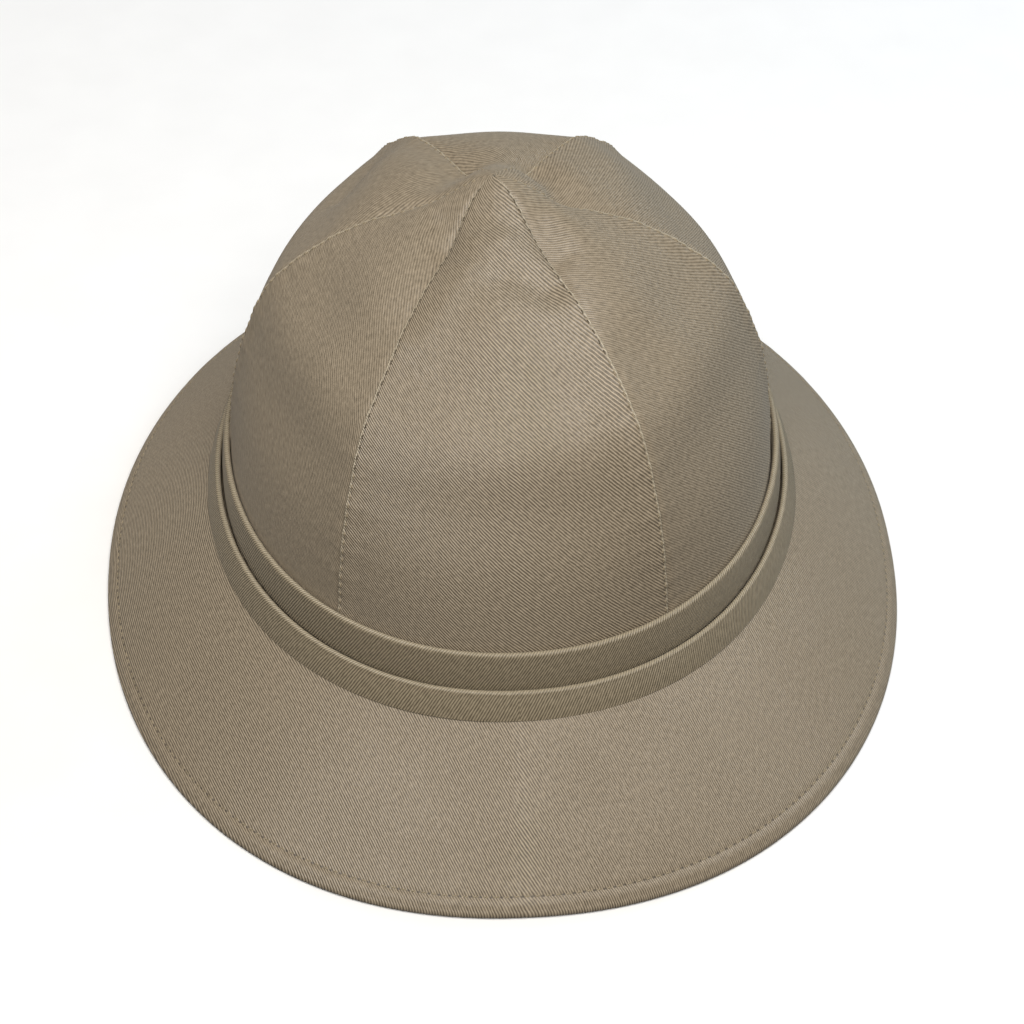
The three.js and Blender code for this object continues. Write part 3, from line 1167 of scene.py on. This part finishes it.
@dataclass
class HatBand:
    """The hat band: two pleats stacked round the crown's foot, with an overlapped join on the +X side."""

    form: BrimForm
    steps: int = 720
    fold_steps: int = 9
    face_steps: int = 16
    foot_drop: float = 1.5
    inside_drop: float = 2.5
    fold_lead: int = 3
    lap_azimuth: float = 99.0
    lap_span: float = 34.0
    lap_rise: float = 0.9
    lap_lift: float = 1.1
    lap_step: float = 0.25
    upper_foot: float = 46.0
    over_brim: float = 0.5
    unevenness: float = 0.3
    sway_reach: float = 95.0
    sway_length: float = 120.0

    def build(self, twill: Material) -> None:
        """Builds both pleats.

        Args:
            twill: Their material.
        """
        for section in (UPPER_PLEAT, LOWER_PLEAT):
            self._build_pleat(section, twill)

    def _azimuths(self) -> Array:
        """Gives azimuths round the hat, with two close together at the join."""
        even = np.linspace(0, 360, self.steps + 1)
        clear = even[np.abs(even - self.lap_azimuth) > 2 * self.lap_step]
        join = [self.lap_azimuth - self.lap_step, self.lap_azimuth + self.lap_step]
        return np.sort(np.concatenate([clear, join]))

    def _outline(self, section: PleatSection) -> Array:
        """Gives the section's stands and heights, from its inner foot out, up its face and round its fold.

        Args:
            section: The pleat.

        Returns:
            Rows of stand, height and 1 where the point belongs to the fold.
        """
        foot = min(height for _, height in section.face) - self.foot_drop
        face = smooth_curve(np.array([(section.foot_stand, foot), *section.face]), self.face_steps)
        end_stand, end_height = section.face[-1]
        turn = np.linspace(0, math.pi, self.fold_steps + 2)[1:]
        fold_stand = end_stand - section.fold_radius + section.fold_radius * np.cos(turn)
        fold_height = end_height + section.fold_radius * np.sin(turn)
        fold = np.stack([np.maximum(fold_stand, section.inner_stand), fold_height], axis=1)
        inside = np.array([(section.inner_stand, end_height - self.inside_drop), (section.inner_stand, foot)])
        outline = np.vstack([inside[-1:], face, fold, inside])
        upper = np.zeros((len(outline), 1))
        upper[len(face) - self.fold_lead : len(face) + len(fold) + 1] = 1
        return np.hstack([outline, upper])

    def _build_pleat(self, section: PleatSection, twill: Material) -> None:
        """Builds one pleat as a closed ring.

        Args:
            section: The pleat's cross-section.
            twill: Its material.
        """
        crown = self.form.form
        azimuth = self._azimuths()[None, :]
        outline = self._outline(section)
        stand, height, fold = (outline[:, number : number + 1] for number in range(3))
        before = self.lap_azimuth - azimuth
        over = np.where(before > 0, np.clip(1 - before / self.lap_span, 0, 1), 0)
        under = np.where(before < 0, np.clip(1 + before / self.lap_span, 0, 1), 0)
        lapped = stand > (0 if section.sits_on_brim else section.inner_stand)
        sway = slow_wave(np.radians(azimuth) * self.sway_reach, self.sway_length, section.phase)
        sway = sway * np.sin(np.radians(azimuth / 2)) ** 2
        off = stand + np.where(lapped, self.lap_rise * over, 0)
        level = height + (self.lap_lift * under + self.unevenness * sway) * fold
        if section.sits_on_brim:
            lowest = self.form.top(off / self.form.run(azimuth)) + self.over_brim
            span = height.max() - height.min()
            share = (height - height.min()) / span
            level = lowest + (height.max() - lowest) * share + (level - height)
        hem, above = CROWN_RINGS[:2]
        taper = (hem.reach - above.reach) / (above.height - hem.height)
        reach = crown.hem_reach - taper * (level - hem.height)
        points = oval_points(
            azimuth, reach + off, reach * crown.ratio(azimuth) + off, crown.squareness, level
        )
        round_hat = path_lengths(points[len(outline) // 3])
        path = path_lengths(outline[:, :2])
        weave = np.stack(np.broadcast_arrays(round_hat[None, :], path[:, None]), axis=-1)
        top = path[int(np.argmax(outline[:, 1]))]
        # The distance from the fold's top places the painted highlight along the fold.
        sewing = np.stack(np.broadcast_arrays(round_hat[None, :], np.abs(path - top)[:, None]), axis=-1)
        piece = cloth_object(f"band_{section.name}_cloth", points, weave, sewing)
        hand_over(piece, twill, "band_twill", section.node)


@dataclass(frozen=True)
class SoftBox:
    """A square soft box that faces the hat, by azimuth and elevation in degrees. Lengths are metres."""

    name: str
    azimuth: float
    elevation: float
    watts: float
    tint: str
    distance: float = 1.5
    size: float = 1.0
    gloss: bool = True


SOFT_BOXES = (
    SoftBox("front_soft_box", azimuth=2, elevation=61, watts=25.0, tint="#fffdfa", size=0.9),
    SoftBox("right_soft_box", azimuth=130, elevation=14, watts=16.5, tint="#d8ecff", gloss=False),
    SoftBox("left_soft_box", azimuth=-135, elevation=14, watts=8.0, tint="#fffaf4", gloss=False),
)


@dataclass
class Studio:
    """A white paper floor, soft boxes and a camera at the photograph's angle. Lengths are metres."""

    elevation: float = 44.05
    azimuth: float = -3.2
    distance: float = 0.9
    target: tuple[float, float, float] = (0.00385, 0.0, 0.01817)
    focal_pixels: float = 2691.0
    image_pixels: float = 1024.0
    sensor: float = 36.0
    near_clip: float = 0.05
    floor_size: float = 12.0
    floor_height: float = -0.0003
    sky: float = 0.12
    sky_tint: str = "#fdfdff"

    def build(self, paper: Material) -> None:
        """Sets the floor, the lights and the camera.

        Args:
            paper: The floor's material.
        """
        bpy.ops.object.select_all(action="DESELECT")
        bpy.ops.mesh.primitive_plane_add(size=self.floor_size, location=(0, 0, self.floor_height))
        floor = bpy.context.active_object
        floor.name = "studio_floor"
        floor.data.materials.append(paper)
        bpy.ops.object.transform_apply(location=True, rotation=False, scale=False)
        # The paper throws no light back on the hat, as when black flags stand round it.
        floor.visible_diffuse = False
        floor.visible_glossy = False
        for box in SOFT_BOXES:
            self._light(box)
        world = bpy.data.worlds.new("studio_walls")
        bpy.context.scene.world = world
        world.use_nodes = True
        sky = {"Color": linear_colour(self.sky_tint), "Strength": self.sky}
        fill_inputs(world.node_tree, world.node_tree.nodes["Background"], sky)
        bpy.context.scene.view_settings.view_transform = "Standard"
        self._camera()

    def _direction(self, azimuth: float, elevation: float) -> Vector:
        """Gives the direction from the hat to a place at an azimuth and elevation in degrees."""
        turn, rise = math.radians(azimuth), math.radians(elevation)
        return Vector((math.sin(turn) * math.cos(rise), -math.cos(turn) * math.cos(rise), math.sin(rise)))

    def _face_hat(self, thing: Piece, back: Vector) -> None:
        """Turns a light or a camera towards the hat, against the direction that it stands in."""
        thing.rotation_mode = "QUATERNION"
        thing.rotation_quaternion = (-back).to_track_quat("-Z", "Y")

    def _light(self, box: SoftBox) -> None:
        """Hangs a soft box.

        Args:
            box: Its place, size and light.
        """
        back = self._direction(box.azimuth, box.elevation)
        bpy.ops.object.light_add(type="AREA", location=back * box.distance)
        light = bpy.context.active_object
        light.name = box.name
        self._face_hat(light, back)
        light.data.shape = "SQUARE"
        light.data.size = box.size
        light.data.energy = box.watts
        light.data.color = linear_colour(box.tint)[:3]
        light.visible_glossy = box.gloss

    def _camera(self) -> None:
        """Sets the camera at the photograph's angle."""
        back = self._direction(self.azimuth, self.elevation)
        bpy.ops.object.camera_add(location=Vector(self.target) + back * self.distance)
        camera = bpy.context.active_object
        camera.name = "photo_camera"
        self._face_hat(camera, back)
        camera.data.sensor_width = self.sensor
        camera.data.lens = self.focal_pixels / self.image_pixels * self.sensor
        camera.data.clip_start = self.near_clip
        bpy.context.scene.camera = camera


def main() -> None:
    """Builds the helmet's pieces in order, and the studio round them."""
    logging.basicConfig(level=logging.INFO, format="%(name)s %(message)s")
    front_twill = TwillFinish("cotton_twill_front", rib_slant=-45, stitch=CROWN_STITCH)
    side_twill = TwillFinish("cotton_twill_sides", rib_slant=-45, rib_contrast=0.5, stitch=SIDE_STITCH)
    band_twill = TwillFinish(
        "cotton_twill_band", 60, "#a99a80", "#5a503d", edge_highlight_width=1.1, edge_highlight_share=0.25
    )
    brim_twill = TwillFinish("cotton_twill_brim", rib_slant=-63, stitch=BRIM_STITCH)
    front_thread = ThreadFinish("polyester_thread_front", "#6a5e4b", "#3f372b").material()
    side_thread = ThreadFinish("polyester_thread_sides", "#a4957c", "#75684f").material()
    brim_thread = ThreadFinish("polyester_thread_brim", "#a89a80", "#75684f").material()
    form = CrownForm()
    brim_form = BrimForm(form)
    front = PanelDress(front_twill.material(), side_thread, front_thread, top_reach=(95, 60))
    sides = PanelDress(side_twill.material(), side_thread, side_thread)
    Crown(form).build(front, sides)
    HatBand(brim_form).build(band_twill.material())
    Brim(brim_form).build(brim_twill.material(), brim_thread)
    Studio().build(FloorFinish().material())


if __name__ == "__main__":
    main()
